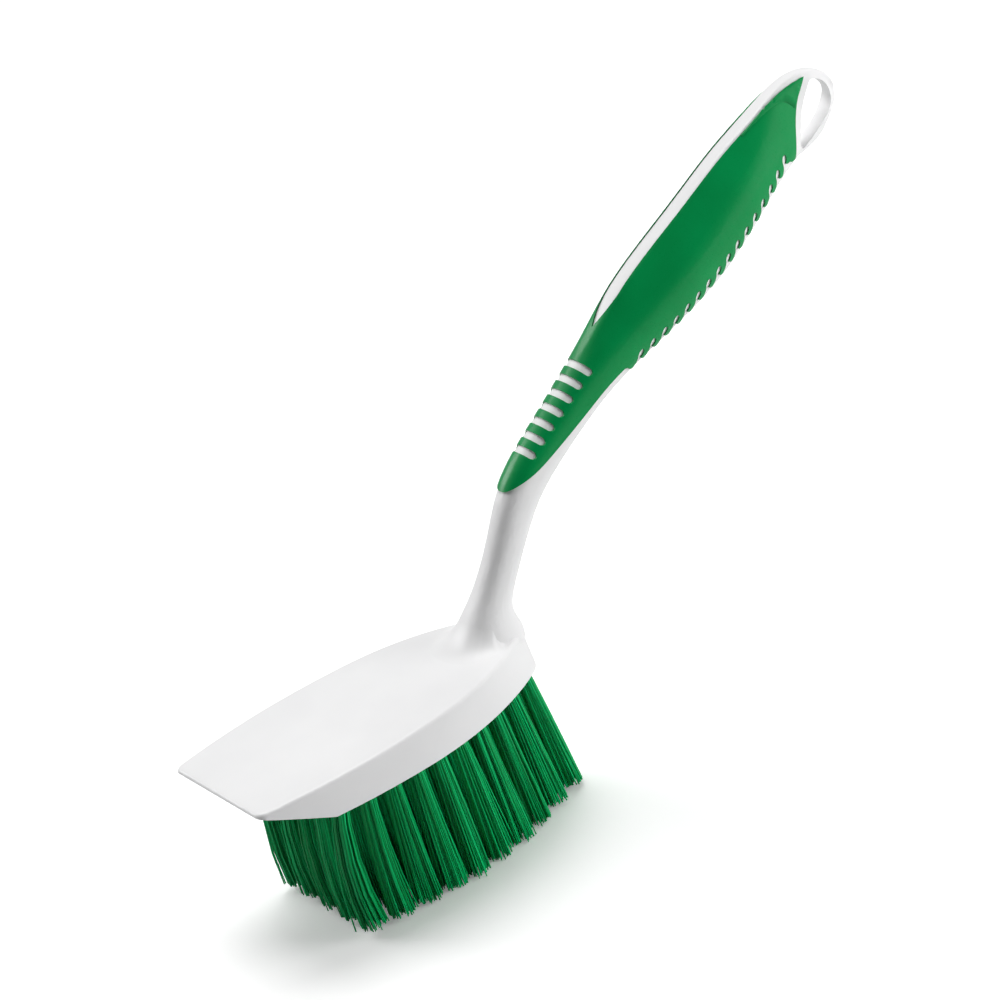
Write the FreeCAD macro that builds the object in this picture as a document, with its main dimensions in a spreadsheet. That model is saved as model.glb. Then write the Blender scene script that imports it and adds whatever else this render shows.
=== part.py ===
"""Hand scrub brush: a moulded body with a scraper lip, a soft grip, bristle tufts and their wire anchors.

Millimetres. The origin is the middle of the scrubbing face: the tip of the middle tuft. +X runs from the
scraper lip towards the handle's end, +Z is up, and the XZ plane is the plane of symmetry.
"""
import FreeCAD
import Part
import Sketcher
import math
import os

Vector = FreeCAD.Vector
Rotation = FreeCAD.Rotation
Placement = FreeCAD.Placement

SIZES = {
    # bristle block
    "bristle_trim": 52.4,
    "block_height": 12.0,
    "lip_reach": 87.0,
    "rear_reach": 43.0,
    "face_width": 68.0,
    "face_front_width": 58.0,
    "face_widest_from_lip": 48.0,
    "face_shoulder_radius": 115.0,
    "face_tail_radius": 15.0,
    "plate_width": 66.8,
    "plate_front_width": 57.0,
    "plate_widest_from_lip": 47.0,
    "plate_shoulder_radius": 85.0,
    "plate_tail_radius": 14.0,
    "plate_rear_inset": 2.0,
    "plate_tilt": 2.0,
    "plate_rim_radius": 1.5,
    "lip_thickness": 1.2,
    "lip_slope_length": 26.0,
    "lip_corner_radius": 4.0,
    # tufts, their holes and anchors
    "hole_row_pitch": 10.0,
    "tip_row_pitch": 10.8,
    "rows_ahead": 5,
    "rows_behind": 4,
    "hole_row_offset": -4.0,
    "tuft_pitch": 11.4,
    "tuft_edge_inset": 9.0,
    "tuft_tip_diameter": 9.6,
    "tuft_gap": 0.2,
    "hole_diameter": 6.0,
    "hole_depth": 8.5,
    "shank_clearance": 0.1,
    "anchor_thickness": 0.45,
    "anchor_height": 2.0,
    "anchor_bite": 0.7,
    "anchor_clearance": 0.05,
    "fold_thickness": 0.9,
    # spine of the neck and handle
    "neck_from_lip": 111.5,
    "neck_slope": 57.0,
    "neck_length": 59.0,
    "bend_radius": 45.0,
    "grip_slope": 35.5,
    "grip_bow_radius": 647.0,
    "section_power": 2.3,
    "belly_power": 2.6,
    "crown_slope": 46.0,
    "crown_rise": 0.35,
    "foot_base_ahead": 4.0,
    "foot_base_behind": 22.0,
    "foot_base_half": 11.0,
    "nose_length": 21.0,
    # soft grip
    "grip_proud": 0.6,
    "grip_depth": 1.6,
    "grip_start": 53.8,
    "slot_start": 69.7,
    "slot_pitch": 5.8,
    "slot_count": 7,
    "slot_width": 2.8,
    "slot_floor": 4.9,
    "wave_start": 114.7,
    "wave_setback": 37.3,
    "wave_pitch": 5.85,
    "wave_rise": 1.6,
    "wave_depth": 2.6,
    "wave_start_drop": 5.9,
    "wave_middle_drop": 11.4,
    "wave_end_drop": 5.0,
    "wave_lead": 1.4,
    "wave_lead_rise": 1.45,
    "stripe_start": 117.5,
    "stripe_lead": 17.0,
    "stripe_half_width": 3.7,
    "stripe_end_half_width": 4.3,
    # hanging loop
    "hole_wall_radius": 60.0,
    "hole_wall_ahead": 41.8,
    "hole_wall_drop": 44.2,
    "hole_corner_radius": 2.0,
    "loop_rim": 3.2,
    "loop_web": 3.2,
}

# Cross-sections of the neck and handle, in order from the block: the step along the spine from the section
# before, the reach above the spine, the reach below it, half the width, and half the width of the flat crown
# along the top, which is 0 where the section is round.
SECTIONS = {
    "neck": (26.5, 6.5, 6.7, 6.4, 0.0),
    "neck_top": (15.5, 6.7, 6.9, 6.4, 0.0),
    "bend": (18.0, 7.3, 7.9, 6.8, 0.0),
    "slots": (20.0, 7.7, 7.8, 7.2, 0.0),
    "rise": (25.0, 8.6, 9.2, 8.2, 0.0),
    "belly_front": (25.0, 12.2, 13.1, 10.9, 3.6),
    "belly": (27.0, 13.3, 17.2, 12.7, 3.6),
    "belly_back": (28.0, 14.3, 15.1, 12.0, 3.5),
    "palm": (24.0, 15.0, 11.2, 8.8, 3.3),
    "loop": (15.0, 15.3, 12.8, 4.6, 2.9),
}
SECTION_FIELDS = ("step", "above", "below", "half", "crown")

# Flared foot of the neck, above its base in the bristle face: height above the lip's edge, tilt of the section,
# reach ahead of the neck's axis, reach behind it, and half the width.
FOOT = {
    "foot_root": (-2.0, 90.0, 12.0, 17.0, 12.5),
    "foot_flare": (3.0, 88.0, 11.0, 15.4, 13.2),
    "foot_swell": (6.8, 80.0, 9.4, 13.2, 11.2),
    "foot_ankle": (11.4, 68.0, 8.0, 9.8, 8.8),
    "foot_top": (17.0, 59.0, 6.9, 7.0, 7.0),
}
FOOT_FIELDS = ("height", "tilt", "ahead", "behind", "half")

# One hook of the wave edge, as shares of its pitch along the row and of its rise or depth across it: a back
# that falls into a round hollow, and an undercut crest that points at the block.
WAVE_TOP = (0.28, 1.0)
WAVE_BACK = ((0.62, 0.32), (0.82, -0.30))
WAVE_FALL = ((0.94, -0.72), (1.13, -0.98))
WAVE_HOLLOW = ((1.33, -1.0), (1.40, -0.66))
WAVE_UNDERCUT = ((1.24, -0.19), (1.0, 0.0))
WAVE_NOSE = ((1.10, 0.72), (1.28, 1.0))

# Front edge of the grip: the share of the way from its start to the wave row, and the height off the spine.
FRONT_EDGE = ((0.095, 5.2), (0.18, 2.5), (0.365, 0.0), (0.62, -2.15), (0.89, -3.65))

# Directions, in degrees from the spine at the loop, in which the grip's hollow end starts and stops.
GRIP_END_TURNS = (145.0, 108.0)

# Shares of the way from a section's side to the edge of its crown at which the side is drawn.
ROOF_STEPS = (0.3, 0.58, 0.82, 1.0)

# Where the stripe's rounded tip is drawn, as shares of its lead and of its half width.
STRIPE_TIP = (0.3, 0.55)

# Shares of the nose's length at which its rounded end is sectioned.
NOSE_STEPS = (0.5, 0.8, 0.95, 0.995)

# How far cutters run past what they cut, and the room that they take.
OVERRUN = 1.0
REGION_REACH = 25.0
REGION_SPAN = 80.0
REGION_STEPS = 8
RIM_STEPS = 12
STRIPE_FLOOR = 2.0
SECTION_POINTS = 20
LOFT_DEGREE = 3
SAME_PLACE = 0.01
TUFT_SIDES = 8

ANCHOR_TOP = "Sizes.bristle_trim + Sizes.hole_depth - Sizes.shank_clearance - Sizes.fold_thickness"

doc = FreeCAD.newDocument("ScrubBrush")
sheet = doc.addObject("Spreadsheet::Sheet", "Sizes")


def fill_sheet():
    """Write every driving size into the sheet, one aliased cell each."""
    sizes = dict(SIZES)
    for name, values in FOOT.items():
        for field, value in zip(FOOT_FIELDS, values):
            sizes[f"{name}_{field}"] = value
    for name, values in SECTIONS.items():
        for field, value in zip(SECTION_FIELDS, values):
            sizes[f"{name}_{field}"] = value
    for row, (name, value) in enumerate(sizes.items(), start=1):
        sheet.set(f"A{row}", name)
        sheet.set(f"B{row}", str(value))
        sheet.setAlias(f"B{row}", name)
    doc.recompute()


def size(name):
    """A driving size, read from the sheet."""
    return float(sheet.get(name))


def bind(feature, **expressions):
    """Tie a feature's properties to the sheet."""
    for name, expression in expressions.items():
        feature.setExpression(name.replace("__", "."), expression)


def add(kind, name, **properties):
    """A new document object with its properties set."""
    feature = doc.addObject(kind, name)
    for key, value in properties.items():
        setattr(feature, key, value)
    return feature


def combine(kind, name, base, tool):
    """A boolean of two objects that keeps every face as it was cut."""
    return add(f"Part::{kind}", name, Base=base, Tool=tool, Refine=False)


def origin_plane(body, role):
    """One of a body's own origin planes."""
    for feature in body.Origin.OriginFeatures:
        if feature.Role == role:
            return feature
    raise RuntimeError(f"no origin plane {role}")


def new_sketch(body, name, role):
    """A sketch on one of a body's own origin planes."""
    sketch = body.newObject("Sketcher::SketchObject", name)
    sketch.AttachmentSupport = [(origin_plane(body, role), "")]
    sketch.MapMode = "FlatFace"
    return sketch


def constrain(sketch, *rule, to=None):
    """Add a constraint, tied to the sheet where an expression is given."""
    index = sketch.addConstraint(Sketcher.Constraint(*rule))
    if to is not None:
        sketch.setExpression(f"Constraints[{index}]", to)


# Bristle block


class BlockOutline:
    """Plan outline of the block: a straight lip, bowed sides, shoulders and a round tail, all tangent."""

    def __init__(self, prefix, rear):
        self.lip = -size("lip_reach")
        half_width = size(f"{prefix}_width") / 2
        sag = half_width - size(f"{prefix}_front_width") / 2
        bow = size(f"{prefix}_widest_from_lip")
        self.side_radius = (bow ** 2 + sag ** 2) / (2 * sag)
        self.shoulder_radius = size(f"{prefix}_shoulder_radius")
        self.tail_radius = size(f"{prefix}_tail_radius")
        self.side_centre = Vector(self.lip + bow, half_width - self.side_radius, 0)
        self.tail_centre = Vector(rear - self.tail_radius, 0, 0)
        to_tail = self.tail_centre - self.side_centre
        reach = self.side_radius - self.shoulder_radius
        other = self.shoulder_radius - self.tail_radius
        along = (reach ** 2 - other ** 2 + to_tail.Length ** 2) / (2 * to_tail.Length)
        across = math.sqrt(reach ** 2 - along ** 2)
        direction = Vector(to_tail).normalize()
        sideways = Vector(-direction.y, direction.x, 0)
        self.shoulder_centre = self.side_centre + direction * along + sideways * across

    def half_width(self, x):
        """Half the outline's width at a place along the brush."""
        shoulder_start = self.side_centre + (self.shoulder_centre - self.side_centre).normalize() * self.side_radius
        shoulder_end = self.shoulder_centre + (self.tail_centre - self.shoulder_centre).normalize() * self.shoulder_radius
        if x <= shoulder_start.x:
            centre, radius = self.side_centre, self.side_radius
        elif x <= shoulder_end.x:
            centre, radius = self.shoulder_centre, self.shoulder_radius
        else:
            centre, radius = self.tail_centre, self.tail_radius
        return centre.y + math.sqrt(max(radius ** 2 - (x - centre.x) ** 2, 0.0))


def rear_of(prefix):
    """Where an outline's tail ends: the plate stops short of the face, so the rear wall leans in."""
    inset = size("plate_rear_inset") if prefix == "plate" else 0.0
    return size("rear_reach") - inset


def arc(centre, radius, start, end):
    """Sketch arc, anticlockwise between the directions of two points."""
    first = math.atan2(start.y - centre.y, start.x - centre.x)
    last = math.atan2(end.y - centre.y, end.x - centre.x)
    return Part.ArcOfCircle(Part.Circle(centre, Vector(0, 0, 1), radius), first, last)


def flip(point):
    """A point's mirror image across the plane of symmetry."""
    return Vector(point.x, -point.y, point.z)


def outline_sketch(body, name, prefix):
    """Closed plan outline at its height, fully tied to the sheet."""
    outline = BlockOutline(prefix, rear_of(prefix))
    side, shoulder, tail = outline.side_centre, outline.shoulder_centre, outline.tail_centre
    corner_radius = size("lip_corner_radius")
    corner_x = outline.lip + corner_radius
    corner_reach = outline.side_radius - corner_radius
    corner = Vector(corner_x, side.y + math.sqrt(corner_reach ** 2 - (corner_x - side.x) ** 2), 0)
    front = Vector(outline.lip, corner.y, 0)
    corner_end = side + (corner - side).normalize() * outline.side_radius
    joint = side + (shoulder - side).normalize() * outline.side_radius
    turn = shoulder + (tail - shoulder).normalize() * outline.shoulder_radius
    sketch = new_sketch(body, name, "XY_Plane")
    if prefix == "plate":
        tilt_to_plate(sketch)
    else:
        bind(sketch, AttachmentOffset__Base__z="Sizes.bristle_trim")
    lip = sketch.addGeometry(Part.LineSegment(flip(front), front))
    left_corner = sketch.addGeometry(arc(corner, corner_radius, corner_end, front))
    left = sketch.addGeometry(arc(side, outline.side_radius, joint, corner_end))
    left_shoulder = sketch.addGeometry(arc(shoulder, outline.shoulder_radius, turn, joint))
    tail_arc = sketch.addGeometry(arc(tail, outline.tail_radius, flip(turn), turn))
    right_shoulder = sketch.addGeometry(arc(flip(shoulder), outline.shoulder_radius, flip(joint), flip(turn)))
    right = sketch.addGeometry(arc(flip(side), outline.side_radius, flip(corner_end), flip(joint)))
    right_corner = sketch.addGeometry(arc(flip(corner), corner_radius, flip(front), flip(corner_end)))
    width = f"Sizes.{prefix}_width"
    front_width = f"Sizes.{prefix}_front_width"
    bow = f"Sizes.{prefix}_widest_from_lip"
    radius = f"(({bow})^2 + (({width} - {front_width}) / 2)^2) / ({width} - {front_width})"
    tail_radius = f"Sizes.{prefix}_tail_radius"
    rear = "Sizes.rear_reach - Sizes.plate_rear_inset" if prefix == "plate" else "Sizes.rear_reach"
    constrain(sketch, "Tangent", lip, 2, left_corner, 2)
    constrain(sketch, "Tangent", left_corner, 1, left, 2)
    constrain(sketch, "Tangent", left, 1, left_shoulder, 2)
    constrain(sketch, "Tangent", left_shoulder, 1, tail_arc, 2)
    constrain(sketch, "Tangent", tail_arc, 1, right_shoulder, 2)
    constrain(sketch, "Tangent", right_shoulder, 1, right, 2)
    constrain(sketch, "Tangent", right, 1, right_corner, 2)
    constrain(sketch, "Tangent", right_corner, 1, lip, 1)
    constrain(sketch, "Vertical", lip)
    constrain(sketch, "DistanceX", lip, 1, -1, 1, -outline.lip, to="Sizes.lip_reach")
    constrain(sketch, "Radius", left_corner, corner_radius, to="Sizes.lip_corner_radius")
    constrain(sketch, "Equal", left_corner, right_corner)
    constrain(sketch, "Radius", left, outline.side_radius, to=radius)
    constrain(sketch, "DistanceX", lip, 1, left, 3, side.x - outline.lip, to=bow)
    constrain(sketch, "DistanceY", left, 3, -1, 1, -side.y, to=f"{radius} - {width} / 2")
    constrain(sketch, "Symmetric", left, 3, right, 3, -1)
    constrain(sketch, "Equal", left, right)
    constrain(sketch, "Radius", left_shoulder, outline.shoulder_radius, to=f"Sizes.{prefix}_shoulder_radius")
    constrain(sketch, "Equal", left_shoulder, right_shoulder)
    constrain(sketch, "PointOnObject", tail_arc, 3, -1)
    constrain(sketch, "DistanceX", -1, 1, tail_arc, 3, tail.x, to=f"{rear} - {tail_radius}")
    constrain(sketch, "Radius", tail_arc, outline.tail_radius, to=tail_radius)
    return sketch


def tilt_to_plate(sketch):
    """Lift a sketch to the plate, which rises from the lip to the neck."""
    sketch.AttachmentOffset = Placement(Vector(), Rotation(Vector(0, -1, 0), size("plate_tilt")))
    bind(
        sketch,
        AttachmentOffset__Rotation__Angle="Sizes.plate_tilt",
        AttachmentOffset__Base__x="Sizes.lip_reach * (cos(Sizes.plate_tilt) - 1)",
        AttachmentOffset__Base__z="Sizes.bristle_trim + Sizes.block_height"
                                  " + Sizes.lip_reach * sin(Sizes.plate_tilt)",
    )


def lip_sketch(body):
    """Side view of what is cut away under the lip."""
    face = size("bristle_trim")
    lip = -size("lip_reach")
    edge = face + size("block_height") - size("lip_thickness")
    slope_end = lip + size("lip_slope_length")
    points = [
        Vector(lip, edge, 0),
        Vector(slope_end, face, 0),
        Vector(slope_end, face - OVERRUN, 0),
        Vector(lip - OVERRUN, face - OVERRUN, 0),
        Vector(lip - OVERRUN, edge, 0),
    ]
    sketch = new_sketch(body, "LipSlope", "XZ_Plane")
    lines = []
    for start, end in zip(points, points[1:] + points[:1]):
        lines.append(sketch.addGeometry(Part.LineSegment(start, end)))
    slope, drop, bottom, front, level = lines
    for line, following in zip(lines, lines[1:] + lines[:1]):
        constrain(sketch, "Coincident", line, 2, following, 1)
    constrain(sketch, "Vertical", drop)
    constrain(sketch, "Horizontal", bottom)
    constrain(sketch, "Vertical", front)
    constrain(sketch, "Horizontal", level)
    constrain(sketch, "DistanceX", slope, 1, -1, 1, -lip, to="Sizes.lip_reach")
    constrain(sketch, "DistanceY", -1, 1, slope, 1, edge,
              to="Sizes.bristle_trim + Sizes.block_height - Sizes.lip_thickness")
    constrain(sketch, "DistanceX", slope, 1, slope, 2, slope_end - lip, to="Sizes.lip_slope_length")
    constrain(sketch, "DistanceY", -1, 1, slope, 2, face, to="Sizes.bristle_trim")
    constrain(sketch, "DistanceY", drop, 2, drop, 1, OVERRUN)
    constrain(sketch, "DistanceX", front, 2, slope, 1, OVERRUN)
    return sketch


def block_body():
    """Block between the bristle face and the plate, with a rounded rim and a lip sloped to an edge."""
    body = doc.addObject("PartDesign::Body", "Block")
    face = outline_sketch(body, "FaceOutline", "face")
    plate = outline_sketch(body, "PlateOutline", "plate")
    loft = body.newObject("PartDesign::AdditiveLoft", "BlockLoft")
    loft.Profile = plate
    loft.Sections = [face]
    loft.Ruled = True
    doc.recompute()
    top = size("bristle_trim") + size("block_height")
    rim = []
    for index, edge in enumerate(loft.Shape.Edges, start=1):
        if edge.BoundBox.ZMin > top - size("plate_rim_radius"):
            rim.append(f"Edge{index}")
    fillet = body.newObject("PartDesign::Fillet", "PlateRim")
    fillet.Base = (loft, rim)
    bind(fillet, Radius="Sizes.plate_rim_radius")
    slope = lip_sketch(body)
    pocket = body.newObject("PartDesign::Pocket", "LipCut")
    pocket.Profile = slope
    pocket.Type = "ThroughAll"
    pocket.Midplane = True
    doc.recompute()
    return body


# Spine and cross-sections of the neck and handle


class Spine:
    """Side-view centre line: a straight neck, a bend, and a grip bowed on a large radius."""

    def __init__(self):
        top = size("bristle_trim") + size("block_height")
        self.foot = Vector(size("neck_from_lip") - size("lip_reach"), 0, top)
        self.neck_slope = math.radians(size("neck_slope"))
        self.grip_slope = math.radians(size("grip_slope"))
        self.bend_radius = size("bend_radius")
        self.bow_radius = size("grip_bow_radius")
        turn = self.neck_slope - self.grip_slope
        self.bend_start = size("neck_length") - self.bend_radius * math.tan(turn / 2)
        self.bend_end = self.bend_start + self.bend_radius * turn

    def slope(self, along):
        """Slope of the spine in radians."""
        if along <= self.bend_start:
            return self.neck_slope
        if along <= self.bend_end:
            return self.neck_slope - (along - self.bend_start) / self.bend_radius
        return self.grip_slope - (along - self.bend_end) / self.bow_radius

    def direction(self, along):
        """Unit vector along the spine."""
        slope = self.slope(along)
        return Vector(math.cos(slope), 0, math.sin(slope))

    def normal(self, along):
        """Unit vector square to the spine, on its upper side."""
        slope = self.slope(along)
        return Vector(-math.sin(slope), 0, math.cos(slope))

    def point(self, along, height=0.0):
        """A point at a distance along the spine and a height off it."""
        base = self.foot + self.direction(0) * min(along, self.bend_start)
        if along > self.bend_start:
            end = min(along, self.bend_end)
            base += (self.normal(end) - self.normal(self.bend_start)) * self.bend_radius
        if along > self.bend_end:
            base += (self.normal(along) - self.normal(self.bend_end)) * self.bow_radius
        return base + self.normal(along) * height


def round_quarter(reach, half_width, power):
    """Quarter of a superellipse from the side to the top: pairs of reach across and height."""
    steps = SECTION_POINTS // 4
    quarter = []
    for index in range(steps + 1):
        turn = math.pi / 2 * index / steps
        across = half_width * abs(math.cos(turn)) ** (2 / power)
        quarter.append((across, reach * math.sin(turn) ** (2 / power)))
    return quarter


def roof_quarter(reach, half_width, crown):
    """Quarter of a section whose side leans in from full width to the edge of a flat crown."""
    edge = min(crown, half_width)
    eaves = reach - size("crown_rise")
    bend = max(eaves - (half_width - edge) * math.tan(math.radians(size("crown_slope"))), 0.0)
    quarter = [(half_width, 0.0)]
    for share in ROOF_STEPS:
        across = half_width + (edge - half_width) * share ** 2
        quarter.append((across, 2 * share * (1 - share) * bend + share ** 2 * eaves))
    quarter.append((0.0, reach))
    return quarter


def section_wire(centre, upward, above, below, half_width, crown):
    """Section as one closed curve in the plane of Y and the upward direction."""
    if crown > 0:
        upper = roof_quarter(above, half_width, crown)
        lower = round_quarter(below, half_width, size("belly_power"))
    else:
        upper = round_quarter(above, half_width, size("section_power"))
        lower = round_quarter(below, half_width, size("section_power"))
    ring = upper[:-1]
    ring += [(-across, height) for across, height in reversed(upper)][:-1]
    ring += [(-across, -height) for across, height in lower][:-1]
    ring += [(across, -height) for across, height in reversed(lower)][:-1]
    curve = Part.BSplineCurve()
    curve.interpolate(Points=[centre + Vector(0, across, 0) + upward * height for across, height in ring],
                      PeriodicFlag=True)
    return Part.Wire([curve.toShape()])


def handle_length():
    """Length of the spine up to the end of the nose."""
    return sum(size(f"{name}_step") for name in SECTIONS) + size("nose_length")


def foot_wires(spine, growth):
    """Sections of the flared foot, from the bristle face, through the block's tail, up to the neck."""
    heights = {"foot_base": (-size("block_height"), 90.0)}
    for name in FOOT:
        heights[name] = (size(f"{name}_height"), size(f"{name}_tilt"))
    wires = []
    for name, (height, tilt) in heights.items():
        tilt = math.radians(tilt)
        upward = Vector(-math.sin(tilt), 0, math.cos(tilt))
        ahead = size(f"{name}_ahead")
        behind = size(f"{name}_behind")
        axis = spine.point(height / math.sin(spine.neck_slope))
        centre = axis + upward * ((ahead - behind) / 2)
        reach = (ahead + behind) / 2 + growth
        wires.append(section_wire(centre, upward, reach, reach, size(f"{name}_half") + growth, 0.0))
    return wires


def handle_wires(spine, growth):
    """Sections of the foot, neck, handle and nose, grown outwards by a skin's thickness."""
    wires = foot_wires(spine, growth)
    along = 0.0
    for name in SECTIONS:
        along += size(f"{name}_step")
        reaches = [size(f"{name}_{field}") + growth for field in ("above", "below", "half")]
        crown = size(f"{name}_crown")
        wires.append(section_wire(spine.point(along), spine.normal(along), *reaches, crown))
    nose = size("nose_length") + growth
    for step in NOSE_STEPS:
        place = along + nose * step
        shrink = math.sqrt(1 - step ** 2)
        shrunk = [reach * shrink for reach in reaches]
        wires.append(section_wire(spine.point(place), spine.normal(place), *shrunk, crown * shrink))
    return wires


def solid_loft(name, wires):
    """A solid through the sections."""
    feature = doc.addObject("Part::Feature", name)
    feature.Shape = Part.makeLoft(wires, True, False, False, LOFT_DEGREE)
    return feature


# Soft grip


def three_point_arc(start, middle, end):
    """Edge of an arc through three points."""
    return Part.Arc(start, middle, end).toShape()


def line(start, end):
    """Straight edge."""
    return Part.LineSegment(start, end).toShape()


def flat_face(edges):
    """Planar face inside a loop of edges."""
    return Part.Face(Part.Wire(edges))


class WaveRow:
    """Row of hooks along the lower edge of the grip, on an arc through three places beside the spine."""

    def __init__(self, spine):
        start = size("wave_start")
        end = handle_length() - size("wave_setback")
        first_place = spine.point(start, -size("wave_start_drop"))
        middle_place = spine.point((start + end) / 2, -size("wave_middle_drop"))
        last_place = spine.point(end, -size("wave_end_drop"))
        circle = Part.Circle(first_place, middle_place, last_place)
        self.centre = circle.Center
        self.radius = circle.Radius
        first = first_place - self.centre
        last = last_place - self.centre
        self.first_turn = math.atan2(first.z, first.x)
        self.last_turn = math.atan2(last.z, last.x)
        self.pitch = size("wave_pitch")
        span = (self.last_turn - self.first_turn) * self.radius
        self.count = int(span / self.pitch + 0.5) + 1

    def place(self, hook, share):
        """A point of a hook's shape, from its shares of pitch and of rise or depth."""
        along, across = share
        height = across * (size("wave_rise") if across > 0 else size("wave_depth"))
        turn = self.first_turn + (hook + along) * self.pitch / self.radius
        reach = self.radius + height
        return self.centre + Vector(math.cos(turn), 0, math.sin(turn)) * reach

    def notch(self, hook):
        """Face of the space between one hook and the next."""
        top = self.place(hook, WAVE_TOP)
        edges = []
        place = top
        for bend, end in (WAVE_BACK, WAVE_FALL, WAVE_HOLLOW, WAVE_UNDERCUT, WAVE_NOSE):
            edges.append(three_point_arc(place, self.place(hook, bend), self.place(hook, end)))
            place = self.place(hook, end)
        outside = WAVE_TOP[1] + OVERRUN
        outer_end = self.place(hook, (WAVE_NOSE[1][0], outside))
        outer_start = self.place(hook, (WAVE_TOP[0], outside))
        edges += [line(place, outer_end), line(outer_end, outer_start), line(outer_start, top)]
        return flat_face(edges)


def front_curve(spine):
    """Edge along the front of the grip, from above the handle down to the wave row."""
    start = size("grip_start")
    stretch = size("wave_start") - start
    points = [spine.point(start, size("bend_above") + size("grip_proud") + OVERRUN)]
    for share, height in FRONT_EDGE:
        points.append(spine.point(start + stretch * share, height))
    lead_height = size("wave_lead_rise") - size("wave_start_drop")
    points.append(spine.point(start + stretch - size("wave_lead"), lead_height))
    curve = Part.BSplineCurve()
    curve.interpolate(Points=points)
    return curve.toShape()


def loop_base():
    """Place along the spine where the loop's rounded end starts."""
    return handle_length() - size("nose_length")


def wall_centre(spine):
    """Centre of the hollow end of the grip and of the wall between it and the hanging hole."""
    base = loop_base()
    aside = spine.direction(base) * size("hole_wall_ahead") - spine.normal(base) * size("hole_wall_drop")
    return spine.point(base) + aside


def around_loop(spine, turn):
    """A point on the hollow end of the grip."""
    reach = size("hole_wall_radius") + size("loop_web")
    angle = spine.slope(loop_base()) + math.radians(turn)
    return wall_centre(spine) + Vector(math.cos(angle), 0, math.sin(angle)) * reach


def grip_face(spine, wave):
    """Side view of the grip: a curved front, the wave row, the hollow end, and room above the handle."""
    front = front_curve(spine)
    lead_end = front.Curve.value(front.LastParameter)
    first_tip = wave.place(0, (0.0, 0.0))
    first_top = wave.place(0, WAVE_TOP)
    last_hook = wave.count - 1
    last_top = wave.place(last_hook, WAVE_TOP)
    end_start, end_stop = GRIP_END_TURNS
    corner = around_loop(spine, end_start)
    lead_middle = (lead_end + first_tip) * 0.5 + spine.normal(size("wave_start")) * (size("wave_lead") / 4)
    corner_middle = (last_top + corner) * 0.5 - spine.normal(handle_length()) * (size("wave_rise") / 2)
    edges = [
        front,
        three_point_arc(lead_end, lead_middle, first_tip),
        three_point_arc(first_tip, wave.place(-1, WAVE_NOSE[0]), first_top),
        three_point_arc(first_top, wave.place(last_hook / 2, WAVE_TOP), last_top),
        three_point_arc(last_top, corner_middle, corner),
        three_point_arc(corner, around_loop(spine, (end_start + end_stop) / 2), around_loop(spine, end_stop)),
    ]
    place = around_loop(spine, end_stop)
    stretch = handle_length() - size("grip_start")
    for step in range(REGION_STEPS + 1):
        along = handle_length() - stretch * step / REGION_STEPS
        outer = spine.point(along, REGION_REACH)
        edges.append(line(place, outer))
        place = outer
    edges.append(line(place, front.Curve.value(front.FirstParameter)))
    return flat_face(edges)


def slot_face(spine, index):
    """Side view of one slot over the top of the grip, round at its lower end."""
    along = size("slot_start") + index * size("slot_pitch")
    half = size("slot_width") / 2
    aside = spine.direction(along) * half
    floor = spine.point(along, size("slot_floor"))
    bend = spine.point(along, size("slot_floor") + half)
    top = spine.point(along, REGION_REACH + OVERRUN)
    return flat_face([
        three_point_arc(bend - aside, floor, bend + aside),
        line(bend + aside, top + aside),
        line(top + aside, top - aside),
        line(top - aside, bend - aside),
    ])


def stripe_face(spine):
    """View from above of the bare stripe along the top of the grip, from a rounded tip to the loop."""
    start = size("stripe_start")
    middle = (start + handle_length()) / 2
    direction = spine.direction(middle)
    base = spine.point(middle, STRIPE_FLOOR)
    reach = (handle_length() - start) / 2
    tip = base - direction * reach
    lead = direction * size("stripe_lead")
    aside = Vector(0, size("stripe_half_width"), 0)
    lead_share, aside_share = STRIPE_TIP
    right_end = base + direction * reach - Vector(0, size("stripe_end_half_width"), 0)
    return flat_face([
        three_point_arc(tip, tip + lead * lead_share - aside * aside_share, tip + lead - aside),
        line(tip + lead - aside, right_end),
        line(right_end, flip(right_end)),
        line(flip(right_end), tip + lead + aside),
        three_point_arc(tip + lead + aside, tip + lead * lead_share + aside * aside_share, tip),
    ])


def extruded(name, face, direction, forward, backward):
    """A face as its own object, and the solid that it sweeps."""
    profile = add("Part::Feature", f"{name}Face", Shape=face)
    solid = add("Part::Extrusion", name, Base=profile, DirMode="Custom", Dir=direction, Solid=True)
    solid.LengthFwd = forward
    solid.LengthRev = backward
    return solid


def grip_part(spine):
    """Soft grip: the skin between an outer and an inner loft, inside the grip's outline."""
    wave = WaveRow(spine)
    face = grip_face(spine, wave)
    cuts = [wave.notch(hook) for hook in range(wave.count - 1)]
    cuts += [slot_face(spine, index) for index in range(int(size("slot_count")))]
    face = face.cut(cuts).Faces[0]
    region = extruded("GripRegion", face, Vector(0, 1, 0), REGION_SPAN / 2, REGION_SPAN / 2)
    middle = (size("stripe_start") + handle_length()) / 2
    stripe = extruded("Stripe", stripe_face(spine), spine.normal(middle), REGION_REACH, 0)
    outer = solid_loft("GripOuter", handle_wires(spine, size("grip_proud")))
    inner = solid_loft("GripInner", handle_wires(spine, -size("grip_depth")))
    mould = combine("Cut", "GripMould", region, stripe)
    skin = combine("Common", "GripSkin", outer, mould)
    return combine("Cut", "grip", skin, inner)


# Moulded body


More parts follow.
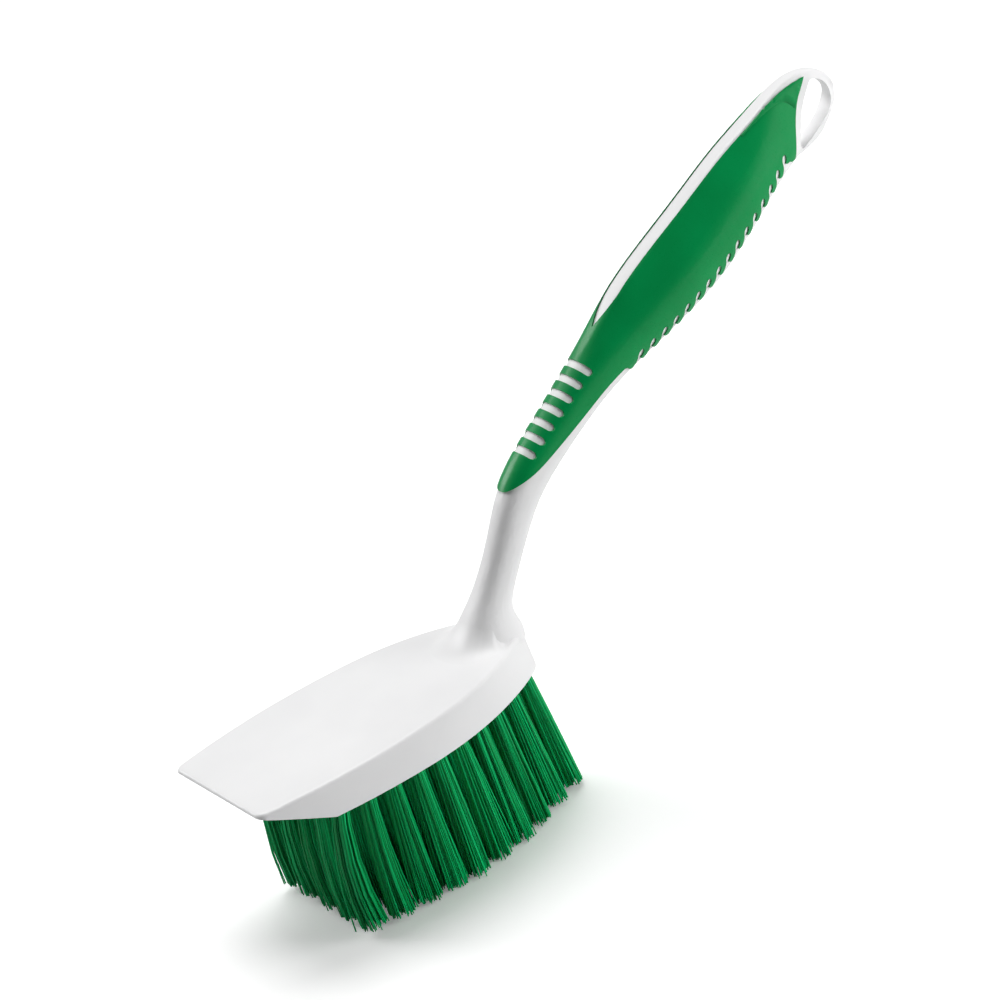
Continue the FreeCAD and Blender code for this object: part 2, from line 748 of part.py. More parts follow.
def loop_inside(spine):
    """Side view of the room inside the loop's rim."""
    base = loop_base()
    centre = spine.point(base)
    forward = spine.direction(base)
    upward = spine.normal(base)
    rim = size("loop_rim")
    reach = size("nose_length") - rim
    points = []
    for step in range(RIM_STEPS + 1):
        turn = math.pi * step / RIM_STEPS
        height = (size("loop_above") if step < RIM_STEPS / 2 else size("loop_below")) - rim
        points.append(centre + forward * (reach * math.sin(turn)) + upward * (height * math.cos(turn)))
    curve = Part.BSplineCurve()
    curve.interpolate(Points=points)
    back = forward * REGION_REACH
    return flat_face([
        curve.toShape(),
        line(points[-1], points[-1] - back),
        line(points[-1] - back, points[0] - back),
        line(points[0] - back, points[0]),
    ])


def hanging_hole(spine):
    """Room inside the loop's rim, beyond the round wall at the grip's end, with rounded corners."""
    room = extruded("LoopRoom", loop_inside(spine), Vector(0, 1, 0), REGION_SPAN / 2, REGION_SPAN / 2)
    centre = wall_centre(spine)
    wall = add("Part::Cylinder", "HoleWall", Height=REGION_SPAN)
    wall.Placement = Placement(centre - Vector(0, REGION_SPAN / 2, 0), Rotation(Vector(1, 0, 0), -90))
    bind(wall, Radius="Sizes.hole_wall_radius")
    hole = combine("Common", "HoleRoom", room, wall)
    doc.recompute()
    radius = size("hole_corner_radius")
    corners = []
    for index, edge in enumerate(hole.Shape.Edges, start=1):
        middle = edge.CenterOfMass
        reach = math.hypot(middle.x - centre.x, middle.z - centre.z)
        along_wall = abs(reach - size("hole_wall_radius")) < SAME_PLACE
        if along_wall and edge.BoundBox.YLength > REGION_SPAN - OVERRUN:
            corners.append((index, radius, radius))
    return add("Part::Fillet", "HangingHole", Base=hole, Edges=corners)


def body_blank(spine, grip):
    """Pierced handle and block in one piece, recessed for the grip."""
    handle = solid_loft("Handle", handle_wires(spine, 0.0))
    pierced = combine("Cut", "PiercedHandle", handle, hanging_hole(spine))
    joined = combine("Fuse", "BlockAndHandle", block_body(), pierced)
    return combine("Cut", "GripRecess", joined, grip)


# Tufts, holes and anchors


def tuft_places():
    """Hole centre and tip centre of every tuft, row by row from the lip."""
    outline = BlockOutline("face", rear_of("face"))
    places = []
    for row in range(-int(size("rows_ahead")), int(size("rows_behind")) + 1):
        hole_x = size("hole_row_offset") + row * size("hole_row_pitch")
        tip_x = row * size("tip_row_pitch")
        half = max(outline.half_width(hole_x) - size("tuft_edge_inset"), 0.0)
        gaps = int(2 * half / size("tuft_pitch") + 0.5)
        pitch = max(2 * half / max(gaps, 1), size("tuft_tip_diameter") + size("tuft_gap"))
        for index in range(gaps + 1):
            places.append((hole_x, tip_x, pitch * (index - gaps / 2)))
    return places


def tuft_ring(name, x, y, level, radius):
    """One level cross-section of a tuft."""
    ring = add("Part::RegularPolygon", name, Polygon=TUFT_SIDES)
    ring.Placement = Placement(Vector(x, y, 0), Rotation(Vector(0, 0, 1), 180 / TUFT_SIDES))
    bind(ring, Circumradius=radius, Placement__Base__z=level)
    return ring


def anchor_box(name, x, y, margin):
    """Upright flat box across a tuft, grown by a margin."""
    box = add("Part::Box", name)
    bind(
        box,
        Length=f"Sizes.anchor_thickness + 2 * {margin}",
        Width=f"Sizes.hole_diameter + 2 * Sizes.anchor_bite + 2 * {margin}",
        Height=f"Sizes.anchor_height + 2 * {margin}",
        Placement__Base__x=f"{x} - Sizes.anchor_thickness / 2 - {margin}",
        Placement__Base__y=f"{y} - Sizes.hole_diameter / 2 - Sizes.anchor_bite - {margin}",
        Placement__Base__z=f"{ANCHOR_TOP} - Sizes.anchor_height - {margin}",
    )
    return box


def tuft_set(number, hole_x, tip_x, y):
    """One tuft with its hole, its anchor and the room that the anchor takes."""
    trim = size("bristle_trim")
    lean = (tip_x - hole_x) / trim
    fold = size("hole_depth") - size("shank_clearance")
    anchor_level = fold - size("fold_thickness") - size("anchor_height") / 2
    shank = "Sizes.hole_diameter / 2 - Sizes.shank_clearance"
    fold_level = "Sizes.bristle_trim + Sizes.hole_depth - Sizes.shank_clearance"
    rings = [
        tuft_ring(f"Fold{number}", hole_x - lean * fold, y, fold_level, shank),
        tuft_ring(f"Mouth{number}", hole_x, y, "Sizes.bristle_trim", shank),
        tuft_ring(f"Tip{number}", tip_x, y, "0", "Sizes.tuft_tip_diameter / 2"),
    ]
    bundle = add("Part::Loft", f"Bundle{number}", Sections=rings, Solid=True, Ruled=True)
    anchor_x = hole_x - lean * anchor_level
    room = anchor_box(f"AnchorRoom{number}", anchor_x, y, "Sizes.anchor_clearance")
    anchor = anchor_box(f"Anchor{number}", anchor_x, y, "0")
    tuft = combine("Cut", f"tuft_{number:02d}", bundle, room)
    hole = add("Part::Cylinder", f"TuftHole{number}")
    below = Vector(hole_x + lean * OVERRUN, y, trim - OVERRUN)
    hole.Placement = Placement(below, Rotation(Vector(0, 0, 1), Vector(-lean, 0, 1)))
    bind(hole, Radius="Sizes.hole_diameter / 2", Height=f"Sizes.hole_depth + {OVERRUN}")
    return tuft, hole, room, anchor


def check(feature):
    """Stop the build if a part is missing, broken or invalid."""
    if "Invalid" in feature.State or "Error" in feature.State:
        raise RuntimeError(f"{feature.Label} did not compute")
    if feature.Shape.isNull() or not feature.Shape.isValid() or not feature.Shape.Solids:
        raise RuntimeError(f"{feature.Label} has no valid solid")


def main():
    fill_sheet()
    spine = Spine()
    grip = grip_part(spine)
    blank = body_blank(spine, grip)
    tufts = []
    holes = []
    rooms = []
    anchors = []
    for number, (hole_x, tip_x, y) in enumerate(tuft_places(), start=1):
        tuft, hole, room, anchor = tuft_set(number, hole_x, tip_x, y)
        tufts.append(tuft)
        holes.append(hole)
        rooms.append(room)
        anchors.append(anchor)
    hole_group = add("Part::Compound", "TuftHoles", Links=holes)
    room_group = add("Part::Compound", "AnchorRooms", Links=rooms)
    drilled = combine("Cut", "DrilledBody", blank, hole_group)
    body = combine("Cut", "brush_body", drilled, room_group)
    anchor_group = add("Part::Compound", "tuft_anchors", Links=anchors)
    doc.recompute()
    for feature in doc.Objects:
        if "Invalid" in feature.State or "Error" in feature.State:
            raise RuntimeError(f"{feature.Label} did not compute")
    os.makedirs("parts", exist_ok=True)
    for feature in [body, grip, anchor_group] + tufts:
        check(feature)
        feature.Shape.exportStep(f"parts/{feature.Label}.step")


main()
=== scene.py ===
"""Looks of the hand scrub brush: moulded body, soft grip, bristle filaments, studio and camera."""

import math
import random

import bmesh
import bpy
from mathutils import Matrix, Vector
from mathutils.bvhtree import BVHTree


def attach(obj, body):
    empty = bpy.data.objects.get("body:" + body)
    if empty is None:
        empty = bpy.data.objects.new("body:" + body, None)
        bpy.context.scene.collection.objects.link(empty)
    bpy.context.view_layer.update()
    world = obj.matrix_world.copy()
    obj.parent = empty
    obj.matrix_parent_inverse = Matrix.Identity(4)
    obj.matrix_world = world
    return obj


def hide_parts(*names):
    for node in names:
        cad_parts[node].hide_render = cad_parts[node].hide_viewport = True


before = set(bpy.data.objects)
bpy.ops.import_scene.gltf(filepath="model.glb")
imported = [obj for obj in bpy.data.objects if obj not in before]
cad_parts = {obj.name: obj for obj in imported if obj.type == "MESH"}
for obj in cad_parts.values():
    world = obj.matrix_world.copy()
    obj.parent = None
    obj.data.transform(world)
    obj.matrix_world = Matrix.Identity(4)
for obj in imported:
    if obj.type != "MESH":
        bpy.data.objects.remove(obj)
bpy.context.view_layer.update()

MM = 0.001

# Camera: the side that it looks from, its height, how it is tipped, its lens, and where it stands.
CAMERA_AZIMUTH = math.radians(-28.08)
CAMERA_ELEVATION = math.radians(25.34)
CAMERA_ROLL = math.radians(-15.0)
CAMERA_LENS_MM = 162.0
CAMERA_SENSOR_MM = 36.0
CAMERA_PLACE = Vector((-617.9, -1248.3, 782.85)) * MM

# Finishes: the tones that each drifts between and its range of roughness.
WHITE_TONES = (0.80, 0.80, 0.805, 1), (0.86, 0.86, 0.862, 1)
WHITE_ROUGHNESS = (0.34, 0.46)
RUBBER_TONES = (0.0, 0.245, 0.06, 1), (0.0, 0.285, 0.073, 1)
RUBBER_ROUGHNESS = (0.24, 0.34)
RUBBER_SHINE = 0.28
FILAMENT_TONES = (0.0, 0.28, 0.07, 1), (0.0, 0.44, 0.125, 1), (0.005, 0.58, 0.18, 1)
FILAMENT_ROUGHNESS = (0.28, 0.45)
FILAMENT_SHINE = 0.2
BRASS_TONES = (0.55, 0.38, 0.14, 1), (0.72, 0.53, 0.22, 1)
BRASS_ROUGHNESS = 0.35
TWO_STOPS = (0.3, 0.7)
THREE_STOPS = (0.0, 0.5, 1.0)
GRAIN_DEPTH = 0.1 * MM

# Filaments: how many a tuft has, their size, and their distance from its middle at the hole and the tip.
FILAMENTS_PER_TUFT = 130
FILAMENT_RADIUS = 0.27 * MM
FILAMENT_THICKNESS = (0.8, 1.15)
FILAMENT_POINTS = 5
SHANK_REACH = 2.55 * MM
TIP_REACH = 4.9 * MM
ROOT_SINK = 4.0 * MM
RING_DEPTH = 0.01 * MM
BRISTLE_SEED = 7

# How filaments leave a straight fan: a random lean and bow, and a few strays that lean further out.
STRAND_LEAN = 0.35 * MM
STRAND_BOW = (-0.3 * MM, 0.5 * MM)
STRAY_SHARE = 0.05
STRAY_LEAN = 3.0 * MM

# Trim: how uneven the tips are, how far they rise at a given reach from the middle, and how the front ones
# bulge and lean forwards, which sets in steeply towards the lip.
TRIM_SPREAD = 1.6 * MM
TRIM_CROWN = 2.4 * MM
TRIM_REACH = 55.0 * MM
FRONT_BULGE = 3.2 * MM
FRONT_LEAN = 1.4 * MM
FRONT_ONSET = 4

# Studio air: the direction of its dim side, the cosine at which that side ends, and the levels of light.
DIM_SIDE = (-0.5, -0.65, 0.57)
DIM_EDGE = 0.2
AIR_LEVEL = 0.36
DIM_LEVEL = 0.02

# Floor paper: its reach, its colour for bounced light and where it is seen, and its lift to white there.
FLOOR_REACH = 6.0
PAPER_ROUGHNESS = 0.9
PAPER_BOUNCE = 0.6
PAPER_WHITE = 1.0
PAPER_LIFT = 0.17

# Where the soft boxes point.
LIGHT_AIM = Vector((0.06, 0.0, 0.09))

# Fillet round the foot of the neck: the foot's axis on the plate, the height at which the foot is first met,
# how the neck leans, the fillet's reach, turn and fineness, and how the plate is told from the foot's flare.
FOOT_AXIS = Vector((27.0, 0.0, 68.3)) * MM
FOOT_RISE = 1.0 * MM
NECK_SLOPE = math.radians(57)
FILLET_REACH = 8.0 * MM
FILLET_TURN = math.radians(105)
FILLET_COLUMNS = 60
FILLET_ROWS = 12
FILLET_SINK = 0.03 * MM
FLARE_REACH = 6.0 * MM
PLATE_FLATNESS = math.cos(math.radians(4))
PLATE_STEP = 0.5 * MM
RAY_START = 60.0 * MM

# Grip's end beside the loop: where it starts, two places on its hollow end, how far it lies from the middle
# at its start and at its end, its lower limit and that limit's slope, and how far it stands proud.
END_START_X = 176.0 * MM
END_HOLLOW = (Vector((203.2, 0.0, 202.65)) * MM, Vector((210.05, 0.0, 211.3)) * MM)
END_EDGE = (Vector((176.0, 3.9, 0.0)) * MM, Vector((205.0, 3.25, 0.0)) * MM)
END_LOW = Vector((181.7, 0.0, 190.0)) * MM
END_SLOPE = math.radians(22.7)
END_PROUD = 0.58 * MM

# How the grip's end meets the grip: how deep the test for covered faces starts, how close counts as touching,
# and how far the end laps under the grip.
END_DEPTH = 0.2 * MM
END_TOUCH = 0.03 * MM
END_LAP = 0.6 * MM

MERGE_DISTANCE = 0.002 * MM
CREASE_ANGLE = math.radians(32)


# Mesh helpers


def merged_copy(node):
    """A bmesh of a CAD node with its loose triangles joined."""
    shape = bmesh.new()
    shape.from_mesh(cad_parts[node].data)
    bmesh.ops.remove_doubles(shape, verts=shape.verts, dist=MERGE_DISTANCE)
    return shape


def finished_mesh(shape, name, material):
    """A mesh in one material from a bmesh, which is then freed."""
    mesh = bpy.data.meshes.new(name)
    shape.to_mesh(mesh)
    shape.free()
    mesh.materials.clear()
    mesh.materials.append(material)
    return mesh


def placed(name, data):
    """A new object in the scene: a mesh, a light or a camera."""
    item = bpy.data.objects.new(name, data)
    bpy.context.scene.collection.objects.link(item)
    return item


def body_piece(name, mesh, slot, *nodes):
    """A piece of the brush, which stands for any CAD nodes that are named; the slot argument is not used."""
    piece = placed(name, mesh)
    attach(piece, "root")
    if nodes:
        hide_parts(*nodes)
    return piece


def smooth_copy(node, name, material, slot):
    """A merged copy of a CAD node, shaded smooth between its creases."""
    shape = merged_copy(node)
    for face in shape.faces:
        face.smooth = True
    for edge in shape.edges:
        edge.smooth = edge.is_manifold and edge.calc_face_angle(0) < CREASE_ANGLE
    piece = body_piece(name, finished_mesh(shape, name, material), slot, node)
    normals = piece.modifiers.new("even_shading", "WEIGHTED_NORMAL")
    normals.keep_sharp = True
    return piece


def surface_tree(mesh):
    """A mesh's faces, ready for rays and nearest points."""
    corners = [vertex.co for vertex in mesh.vertices]
    return BVHTree.FromPolygons(corners, [list(face.vertices) for face in mesh.polygons])


# Materials


class Finish:
    """A material under construction: its shader and a short way to add and join nodes."""

    def __init__(self, name):
        self.material = bpy.data.materials.new(name)
        self.material.use_nodes = True
        self.nodes = self.material.node_tree.nodes
        self.links = self.material.node_tree.links
        self.shader = self.nodes["Principled BSDF"]

    def add(self, kind, **sockets):
        """A node with its plain input values set."""
        node = self.nodes.new(kind)
        for socket, value in sockets.items():
            node.inputs[socket.replace("_", " ")].default_value = value
        return node

    def join(self, source, output, target, socket):
        """Link one node's output to another's input."""
        self.links.new(source.outputs[output], target.inputs[socket])

    def set(self, socket, value):
        """A plain value on the shader."""
        self.shader.inputs[socket].default_value = value

    def noise(self, scale, detail):
        """Noise on the object's own coordinates, in metres."""
        place = self.add("ShaderNodeTexCoord")
        noise = self.add("ShaderNodeTexNoise", Scale=scale, Detail=detail, Roughness=0.55)
        self.join(place, "Object", noise, "Vector")
        return noise

    def tone(self, source, stops, tones):
        """The base colour, from a ramp between tones that a node feeds."""
        ramp = self.add("ShaderNodeValToRGB")
        elements = ramp.color_ramp.elements
        while len(elements) < len(stops):
            elements.new(0.5)
        for element, place, colour in zip(elements, stops, tones):
            element.position = place
            element.color = colour
        self.join(source, "Fac", ramp, "Fac")
        self.join(ramp, "Color", self.shader, "Base Color")

    def spread(self, source, output, bounds):
        """A number between two bounds, fed by a node."""
        low, high = bounds
        spread = self.add("ShaderNodeMapRange", To_Min=low, To_Max=high)
        self.join(source, output, spread, "Value")
        return spread

    def roughness(self, source, bounds):
        """Roughness between two bounds, fed by a node."""
        self.join(self.spread(source, "Fac", bounds), "Result", self.shader, "Roughness")

    def bump(self, source, strength):
        """A fine grain from a node onto the shader."""
        bump = self.add("ShaderNodeBump", Strength=strength, Distance=GRAIN_DEPTH)
        self.join(source, "Fac", bump, "Height")
        self.join(bump, "Normal", self.shader, "Normal")


def white_moulding():
    """White moulded plastic: satin, with a trace of flow in its colour and a fine spark-eroded grain."""
    finish = Finish("white_moulding")
    finish.tone(finish.noise(scale=18.0, detail=3.0), TWO_STOPS, WHITE_TONES)
    grain = finish.noise(scale=2600.0, detail=2.0)
    finish.roughness(grain, WHITE_ROUGHNESS)
    finish.bump(grain, strength=0.05)
    return finish.material


def green_rubber():
    """Soft green grip: a close matte grain, slightly uneven in tone."""
    finish = Finish("green_rubber")
    finish.tone(finish.noise(scale=40.0, detail=5.0), TWO_STOPS, RUBBER_TONES)
    grain = finish.noise(scale=3200.0, detail=2.0)
    finish.roughness(grain, RUBBER_ROUGHNESS)
    finish.bump(grain, strength=0.12)
    finish.set("Specular IOR Level", RUBBER_SHINE)
    return finish.material


def green_filament():
    """Drawn green filament: each strand has its own tone."""
    finish = Finish("green_filament")
    strand = finish.add("ShaderNodeAttribute")
    strand.attribute_name = "strand_tone"
    finish.tone(strand, THREE_STOPS, FILAMENT_TONES)
    finish.roughness(strand, FILAMENT_ROUGHNESS)
    finish.set("Specular IOR Level", FILAMENT_SHINE)
    return finish.material


def brass_wire():
    """Flat drawn anchor wire."""
    finish = Finish("brass_wire")
    finish.tone(finish.noise(scale=900.0, detail=2.0), TWO_STOPS, BRASS_TONES)
    finish.set("Metallic", 1.0)
    finish.set("Roughness", BRASS_ROUGHNESS)
    return finish.material


# Bristles


def ring_centre(mesh, at_top):
    """Middle of a tuft solid's top or bottom ring."""
    heights = [vertex.co.z for vertex in mesh.vertices]
    level = max(heights) if at_top else min(heights)
    ring = [vertex.co for vertex in mesh.vertices if abs(vertex.co.z - level) < RING_DEPTH]
    return sum(ring, Vector()) / len(ring)


def strand_line(chance, root, tip):
    """Points of one filament from inside its hole to the trim, bowed a little, and forwards near the lip."""
    turn = chance.uniform(0, math.tau)
    share = math.sqrt(chance.random())
    aside = Vector((math.cos(turn), math.sin(turn), 0)) * share
    lean = Vector((chance.gauss(0, 1), chance.gauss(0, 1), 0)) * STRAND_LEAN
    if chance.random() < STRAY_SHARE:
        lean += aside * STRAY_LEAN * chance.random()
    start = root + aside * SHANK_REACH
    start.z -= ROOT_SINK
    end = tip + aside * TIP_REACH + lean
    towards_end = tip.x / TRIM_REACH
    end.z += TRIM_SPREAD * chance.random() ** 2 + TRIM_CROWN * towards_end ** 2
    bow = aside * chance.uniform(*STRAND_BOW)
    towards_front = max(-towards_end, 0.0) ** FRONT_ONSET
    end.x -= FRONT_LEAN * towards_front
    bow.x += FRONT_BULGE * towards_front
    points = []
    for index in range(FILAMENT_POINTS):
        step = index / (FILAMENT_POINTS - 1)
        points.append(start.lerp(end, step) - bow * 4 * step * (1 - step))
    return points


def strand_mesh(name, chance, root, tip):
    """All filaments of one tuft as thin square rods."""
    curve = bpy.data.curves.new(name, "CURVE")
    curve.dimensions = "3D"
    curve.bevel_depth = FILAMENT_RADIUS
    curve.bevel_resolution = 0
    curve.use_fill_caps = True
    for _ in range(FILAMENTS_PER_TUFT):
        line = curve.splines.new("POLY")
        line.points.add(FILAMENT_POINTS - 1)
        twist = chance.uniform(0, math.pi)
        thickness = chance.uniform(*FILAMENT_THICKNESS)
        for point, place in zip(line.points, strand_line(chance, root, tip)):
            point.co = (*place, 1)
            point.tilt = twist
            point.radius = thickness
    strands = bpy.data.objects.new(name, curve)
    mesh = bpy.data.meshes.new_from_object(strands)
    bpy.data.objects.remove(strands)
    bpy.data.curves.remove(curve)
    return mesh


def tuft_piece(node, chance, material):
    """Bundle of filaments that stands for one tuft solid."""
    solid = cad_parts[node].data
    mesh = strand_mesh(f"{node}_lines", chance, ring_centre(solid, True), ring_centre(solid, False))
    per_strand = len(mesh.vertices) // FILAMENTS_PER_TUFT
    tones = []
    for _ in range(FILAMENTS_PER_TUFT):
        tones += [chance.random()] * per_strand
    attribute = mesh.attributes.new("strand_tone", "FLOAT", "POINT")
    attribute.data.foreach_set("value", tones)
    mesh.shade_smooth()
    mesh.materials.clear()
    mesh.materials.append(material)
    body_piece(f"{node}_filaments", mesh, "bristle", node)


def bristles():
    """Every tuft, each seeded from its place in the list."""
    material = green_filament()
    names = sorted(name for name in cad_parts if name.startswith("tuft_") and name != "tuft_anchors")
    for index, name in enumerate(names):
        tuft_piece(name, random.Random(BRISTLE_SEED + index), material)


# Body, grip and anchors


class FootFillet:
    """Concave blend between the plate and the foot of the neck, as wide as the plate has room for."""

    def __init__(self, mesh):
        self.skin = surface_tree(mesh)

    def plate_hit(self, place):
        """Point and normal of the body straight below a place."""
        above = Vector((place.x, place.y, FOOT_AXIS.z + RAY_START))
        point, normal, _, _ = self.skin.ray_cast(above, Vector((0, 0, -1)))
        return point, normal

    def is_plate(self, place):
        """Whether the flat plate lies straight below a place."""
        point, normal = self.plate_hit(place)
        if point is None:
            return False
        return normal.z > PLATE_FLATNESS and abs(point.z - FOOT_AXIS.z) < FLARE_REACH

    def neck_hit(self, outward, rise):
        """Point of the foot's surface at a height above the plate, seen from outside."""
        axis = FOOT_AXIS + Vector((rise / math.tan(NECK_SLOPE), 0, rise))
        point, _, _, _ = self.skin.ray_cast(axis + outward * RAY_START, -outward)
        return point

    def profile(self, turn):
        """The three points that shape the fillet in one direction: plate, corner and neck."""
        outward = Vector((-math.cos(turn), math.sin(turn), 0))
        corner = self.neck_hit(outward, FOOT_RISE)
        flare = 0.0
        while flare < FLARE_REACH and not self.is_plate(corner):
            corner += outward * PLATE_STEP
            flare += PLATE_STEP
        room = 0.0
        while room < FILLET_REACH and self.is_plate(corner + outward * (room + PLATE_STEP)):
            room += PLATE_STEP
        fade = math.sqrt(max(math.cos(turn / FILLET_TURN * math.pi / 2), 0.0))
        reach = max(room * fade, PLATE_STEP)
        foot, _ = self.plate_hit(corner + outward * reach)
        corner.z = foot.z
        neck = self.neck_hit(outward, reach)
        return foot - Vector((0, 0, FILLET_SINK)), corner, neck - outward * FILLET_SINK

    def place(self, column, row):
        """A point of the fillet from its shares round the neck and up the curve."""
        foot, corner, neck = self.profile((2 * column - 1) * FILLET_TURN)
        return foot * (1 - row) ** 2 + corner * 2 * row * (1 - row) + neck * row ** 2


def foot_fillet(body, material):
    """White fillet piece round the foot of the neck."""
    fillet = FootFillet(body.data)
    shape = bmesh.new()
    bmesh.ops.create_grid(shape, x_segments=FILLET_COLUMNS, y_segments=FILLET_ROWS, size=1.0)
    for vertex in shape.verts:
        vertex.co = fillet.place((vertex.co.x + 1) / 2, (vertex.co.y + 1) / 2)
    bmesh.ops.recalc_face_normals(shape, faces=shape.faces)
    if sum(face.normal.z for face in shape.faces) < 0:
        bmesh.ops.reverse_faces(shape, faces=shape.faces)
    for face in shape.faces:
        face.smooth = True
    body_piece("foot_fillet", finished_mesh(shape, "foot_fillet", material), "moulding")


def moulded_body():
    """White body with the fillet round its neck."""
    material = white_moulding()
    body = smooth_copy("brush_body", "body_moulding", material, "moulding")
    foot_fillet(body, material)


def cut_to_end(shape, side):
    """Cut a body copy down to the region of the grip's end on one side."""
    along_hollow = END_HOLLOW[1] - END_HOLLOW[0]
    along_edge = END_EDGE[1] - END_EDGE[0]
    edge_place = Vector((END_EDGE[0].x, side * END_EDGE[0].y, 0))
    cuts = [
        (Vector((END_START_X, 0, 0)), Vector((-1, 0, 0))),
        (END_HOLLOW[0], Vector((along_hollow.z, 0, -along_hollow.x))),
        (END_LOW, Vector((math.sin(END_SLOPE), 0, -math.cos(END_SLOPE)))),
        (edge_place, Vector((along_edge.y, -side * along_edge.x, 0))),
    ]
    for place, outward in cuts:
        whole = shape.verts[:] + shape.edges[:] + shape.faces[:]
        outward.normalize()
        bmesh.ops.bisect_plane(shape, geom=whole, plane_co=place, plane_no=outward, clear_outer=True)


def largest_island(shape):
    """The faces of a mesh's largest connected part."""
    waiting = set(shape.faces)
    largest = set()
    while waiting:
        border = [waiting.pop()]
        island = set(border)
        while border:
            face = border.pop()
            for edge in face.edges:
                fresh = waiting.intersection(edge.link_faces)
                waiting -= fresh
                island |= fresh
                border += fresh
        if len(island) > len(largest):
            largest = island
    return largest


def keep_outer_skin(shape, covering):
    """Delete the faces that lie against the grip, which line its recess, and keep the open skin beside it."""
    hidden = []
    for face in shape.faces:
        below = face.calc_center_median() - face.normal * END_DEPTH
        point, _, _, distance = covering.ray_cast(below, face.normal, 2 * END_DEPTH)
        if point is not None and abs(distance - END_DEPTH) < END_TOUCH:
            hidden.append(face)
    bmesh.ops.delete(shape, geom=hidden, context="FACES")
    creases = [edge for edge in shape.edges if edge.is_manifold and edge.calc_face_angle(0) > CREASE_ANGLE]
    bmesh.ops.split_edges(shape, edges=creases)
    skin = largest_island(shape)
    leftovers = [face for face in shape.faces if face not in skin]
    bmesh.ops.delete(shape, geom=leftovers, context="FACES")


def lap_under(shape, covering):
    """Move the border that touches the grip a little way under it, along the skin."""
    shape.normal_update()
    for vertex in shape.verts:
        point, normal, _, _ = covering.find_nearest(vertex.co, END_TOUCH)
        if point is not None and vertex.is_boundary:
            inward = vertex.normal * normal.dot(vertex.normal) - normal
            vertex.co += inward.normalized() * END_LAP


def grip_end(side, covering, material):
    """Green skin on one side that carries the grip up to the loop, raised from the body's own surface."""
    shape = merged_copy("brush_body")
    cut_to_end(shape, side)
    keep_outer_skin(shape, covering)
    lap_under(shape, covering)
    for face in shape.faces:
        face.smooth = True
    piece = body_piece("grip_end", finished_mesh(shape, "grip_end", material), "soft_grip")
    wall = piece.modifiers.new("skin", "SOLIDIFY")
    wall.thickness = END_PROUD
    wall.offset = 1.0


def soft_grip():
    """Green overmoulded grip and its two ends beside the loop."""
    material = green_rubber()
    grip = smooth_copy("grip", "grip_overmould", material, "soft_grip")
    covering = surface_tree(grip.data)
    for side in (1, -1):
        grip_end(side, covering, material)


def anchors():
    """Hidden wire anchors keep their CAD shape."""
    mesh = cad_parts["tuft_anchors"].data
    mesh.materials.clear()
    mesh.materials.append(brass_wire())


# Studio


def studio_paper():
    """White paper that keeps the shadow and is white where it is fully lit."""
    finish = Finish("studio_paper")
    finish.set("Roughness", PAPER_ROUGHNESS)
    finish.set("Specular IOR Level", 0.0)
    path = finish.add("ShaderNodeLightPath")
    paper = finish.spread(path, "Is Camera Ray", (PAPER_BOUNCE, PAPER_WHITE))
    finish.join(paper, "Result", finish.shader, "Base Color")
    lift = finish.add("ShaderNodeEmission", Color=(1, 1, 1, 1))
    level = finish.spread(path, "Is Camera Ray", (0.0, PAPER_LIFT))
    finish.join(level, "Result", lift, "Strength")
    total = finish.add("ShaderNodeAddShader")
    finish.join(finish.shader, "BSDF", total, 0)
    finish.join(lift, "Emission", total, 1)
    finish.join(total, "Shader", finish.nodes["Material Output"], "Surface")
    return finish.material


def studio_floor():
    """Plain white floor under the bristle tips."""
    shape = bmesh.new()
    bmesh.ops.create_grid(shape, x_segments=1, y_segments=1, size=FLOOR_REACH)
    floor = placed("studio_floor", finished_mesh(shape, "studio_floor", studio_paper()))


def soft_box(name, place, size, power, mirrored=True):
    """A square area light aimed at the brush, which glossy surfaces may mirror."""
    light = bpy.data.lights.new(name, "AREA")
    light.shape = "SQUARE"
    light.size = size
    light.energy = power
    lamp = placed(name, light)
    lamp.location = place
    lamp.rotation_euler = (LIGHT_AIM - Vector(place)).to_track_quat("-Z", "Y").to_euler()
    lamp.visible_glossy = mirrored


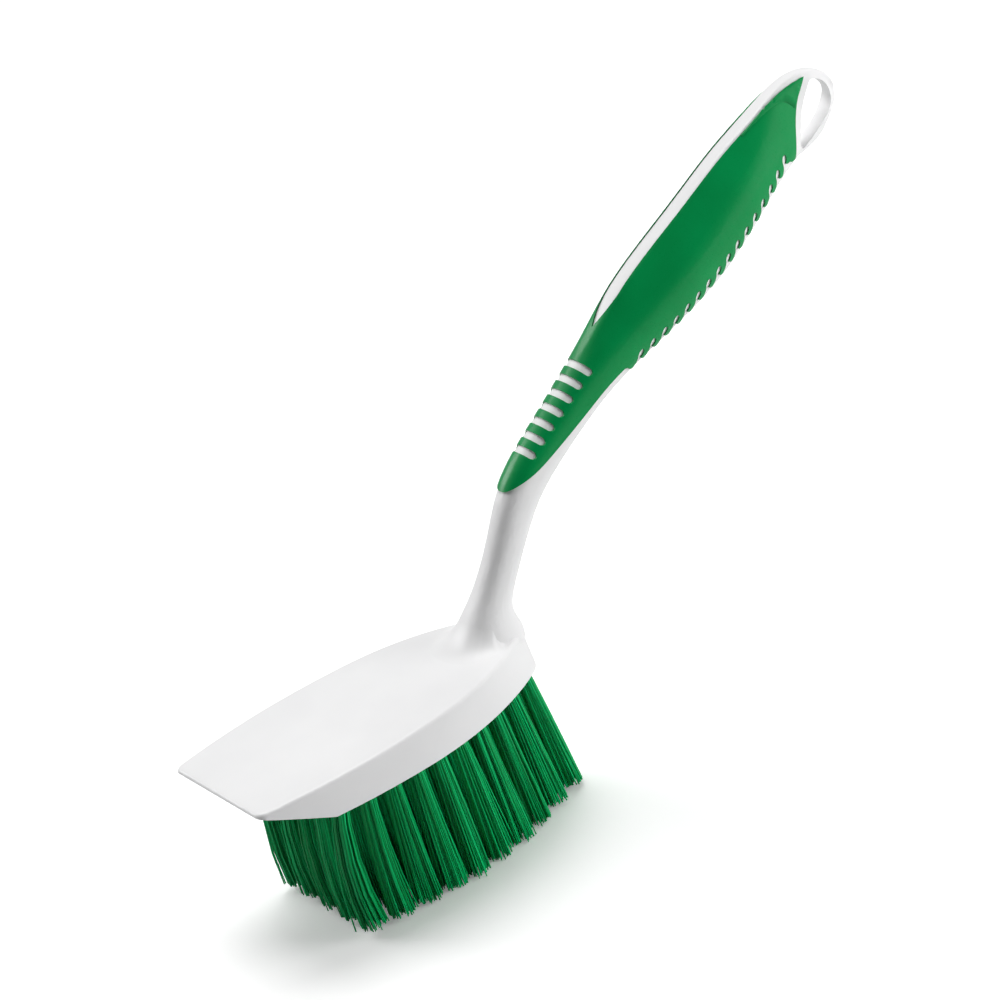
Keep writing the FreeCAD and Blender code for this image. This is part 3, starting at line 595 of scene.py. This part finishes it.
def studio_air():
    """White surroundings with a dim side behind the camera, and plain white where they are seen directly."""
    world = bpy.data.worlds.new("studio_air")
    world.use_nodes = True
    nodes = world.node_tree.nodes
    links = world.node_tree.links
    place = nodes.new("ShaderNodeTexCoord")
    facing = nodes.new("ShaderNodeVectorMath")
    facing.operation = "DOT_PRODUCT"
    facing.inputs[1].default_value = DIM_SIDE
    links.new(place.outputs["Generated"], facing.inputs[0])
    fade = nodes.new("ShaderNodeMapRange")
    fade.interpolation_type = "SMOOTHSTEP"
    fade.inputs["From Min"].default_value = DIM_EDGE
    fade.inputs["To Min"].default_value = AIR_LEVEL
    fade.inputs["To Max"].default_value = DIM_LEVEL
    links.new(facing.outputs["Value"], fade.inputs["Value"])
    path = nodes.new("ShaderNodeLightPath")
    seen = nodes.new("ShaderNodeMath")
    seen.operation = "MAXIMUM"
    links.new(fade.outputs["Result"], seen.inputs[0])
    links.new(path.outputs["Is Camera Ray"], seen.inputs[1])
    links.new(seen.outputs["Value"], nodes["Background"].inputs["Strength"])
    nodes["Background"].inputs["Color"].default_value = (1, 1, 1, 1)
    bpy.context.scene.world = world


def studio_light():
    """Soft boxes on both sides of the camera's view and one overhead."""
    soft_box("left_box", place=(-0.55, 1.05, 0.75), size=0.55, power=6.5)
    soft_box("right_box", place=(1.05, -1.0, 0.35), size=0.8, power=16.0, mirrored=False)
    soft_box("top_box", place=(0.15, 0.45, 1.5), size=1.0, power=15.5)


def photo_camera():
    """Camera at the photograph's angle."""
    back = Vector((
        math.sin(CAMERA_AZIMUTH) * math.cos(CAMERA_ELEVATION),
        -math.cos(CAMERA_AZIMUTH) * math.cos(CAMERA_ELEVATION),
        math.sin(CAMERA_ELEVATION),
    ))
    level = Vector((math.cos(CAMERA_AZIMUTH), math.sin(CAMERA_AZIMUTH), 0))
    upright = back.cross(level)
    across = level * math.cos(CAMERA_ROLL) + upright * math.sin(CAMERA_ROLL)
    upward = upright * math.cos(CAMERA_ROLL) - level * math.sin(CAMERA_ROLL)
    lens = bpy.data.cameras.new("photo_camera")
    lens.lens = CAMERA_LENS_MM
    lens.sensor_width = CAMERA_SENSOR_MM
    camera = placed("photo_camera", lens)
    turn = Matrix((across, upward, back)).transposed()
    camera.matrix_world = Matrix.Translation(CAMERA_PLACE) @ turn.to_4x4()
    bpy.context.scene.camera = camera


moulded_body()
soft_grip()
bristles()
anchors()
studio_floor()
studio_air()
studio_light()
photo_camera()
bpy.context.scene.view_settings.view_transform = "Standard"
